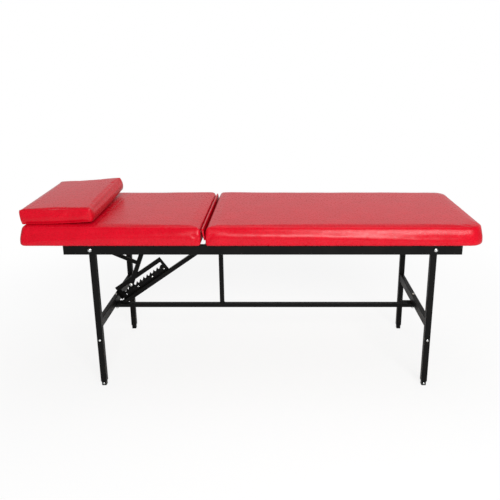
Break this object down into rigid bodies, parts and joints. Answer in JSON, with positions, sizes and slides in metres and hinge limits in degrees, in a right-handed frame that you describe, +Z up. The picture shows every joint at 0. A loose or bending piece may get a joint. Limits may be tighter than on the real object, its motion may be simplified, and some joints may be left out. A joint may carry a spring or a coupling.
{
  "type": "cosmetology table",
  "caption": "Two-section padded cosmetology couch on a black tube frame with telescopic legs and a head section that tilts on a strut and toothed rack.",
  "frame": {"origin": "on the floor, under the middle of the table's overall box with the pillow in place", "axes": "+X along the table from the head end to the foot end, +Y from the front long side to the rear, +Z up"},
  "size_m": [1.867, 0.6, 0.7943],
  "materials": {
    "powder_coated_steel": "semi-gloss black powder coat",
    "zinc_plated_steel": "bright zinc plate",
    "red_leatherette": "satin leather-grain vinyl over foam",
    "plywood": "raw plywood",
    "black_plastic": "fine matt"
  },
  "bodies": {
    "frame": {"front_rail": "powder_coated_steel", "rear_rail": "powder_coated_steel", "rail_end_plugs": "black_plastic", "head_cross_tube": "powder_coated_steel", "hinge_cross_tube": "powder_coated_steel", "foot_cross_tube": "powder_coated_steel", "front_left_leg": "powder_coated_steel", "front_right_leg": "powder_coated_steel", "rear_left_leg": "powder_coated_steel", "rear_right_leg": "powder_coated_steel", "leg_bolts": "zinc_plated_steel", "leg_nuts": "zinc_plated_steel", "height_lock_screws": "zinc_plated_steel", "left_crossbar": "powder_coated_steel", "right_crossbar": "powder_coated_steel", "stretcher": "powder_coated_steel", "stretcher_end_plates": "powder_coated_steel", "crossbar_bolts": "zinc_plated_steel", "crossbar_nuts": "zinc_plated_steel", "middle_post": "powder_coated_steel", "diagonal_brace": "powder_coated_steel", "ratchet_frame": "powder_coated_steel", "toothed_rack": "powder_coated_steel", "rack_rivets": "zinc_plated_steel", "main_board": "plywood", "main_cushion": "red_leatherette", "main_board_screws": "zinc_plated_steel", "fixed_hinge_leaves": "zinc_plated_steel", "fixed_leaf_screws": "zinc_plated_steel", "hinge_pins": "zinc_plated_steel", "gap_strip": "red_leatherette"},
    "head_section": {"head_board": "plywood", "head_cushion": "red_leatherette", "moving_hinge_leaves": "zinc_plated_steel", "moving_leaf_screws": "zinc_plated_steel", "strut_bracket": "powder_coated_steel", "strut_bracket_screws": "zinc_plated_steel", "strut_pivot_bolt": "zinc_plated_steel", "strut_pivot_nut": "zinc_plated_steel"},
    "strut": {"prop_strut": "powder_coated_steel", "release_lever": "powder_coated_steel", "lever_grip": "black_plastic", "ratchet_pin": "zinc_plated_steel", "ratchet_pin_nut": "zinc_plated_steel"},
    "pillow": {"pillow": "red_leatherette"},
    "front_left_extension": {"front_left_leg_extension": "powder_coated_steel", "front_left_foot_plug": "black_plastic", "front_left_foot_screw": "zinc_plated_steel"},
    "front_right_extension": {"front_right_leg_extension": "powder_coated_steel", "front_right_foot_plug": "black_plastic", "front_right_foot_screw": "zinc_plated_steel"},
    "rear_left_extension": {"rear_left_leg_extension": "powder_coated_steel", "rear_left_foot_plug": "black_plastic", "rear_left_foot_screw": "zinc_plated_steel"},
    "rear_right_extension": {"rear_right_leg_extension": "powder_coated_steel", "rear_right_foot_plug": "black_plastic", "rear_right_foot_screw": "zinc_plated_steel"}
  },
  "joints": [
    {"name": "head_tilt", "type": "hinge", "parent": "frame", "child": "head_section", "pos_m": [-0.1875, 0, 0.676], "axis": [0, 1, 0], "range_deg": [0, 22], "deforming": ["gap_strip"]},
    {"name": "strut_swing", "type": "hinge", "parent": "head_section", "child": "strut", "pos_m": [-0.4735, 0, 0.627], "axis": [0, 1, 0], "range_deg": [-50, 0]},
    {"name": "pillow_lift", "type": "slide", "parent": "head_section", "child": "pillow", "axis": [0, 0, 1], "range_m": [0, 0.2]},
    {"name": "front_left_leg_slide", "type": "slide", "parent": "frame", "child": "front_left_extension", "axis": [0, 0, -1], "range_m": [0, 0.1]},
    {"name": "front_right_leg_slide", "type": "slide", "parent": "frame", "child": "front_right_extension", "axis": [0, 0, -1], "range_m": [0, 0.1]},
    {"name": "rear_left_leg_slide", "type": "slide", "parent": "frame", "child": "rear_left_extension", "axis": [0, 0, -1], "range_m": [0, 0.1]},
    {"name": "rear_right_leg_slide", "type": "slide", "parent": "frame", "child": "rear_right_extension", "axis": [0, 0, -1], "range_m": [0, 0.1]}
  ],
  "couplings": [
    {"joint": "strut_swing", "follows": "head_tilt", "ratio": -2.24}
  ]
}
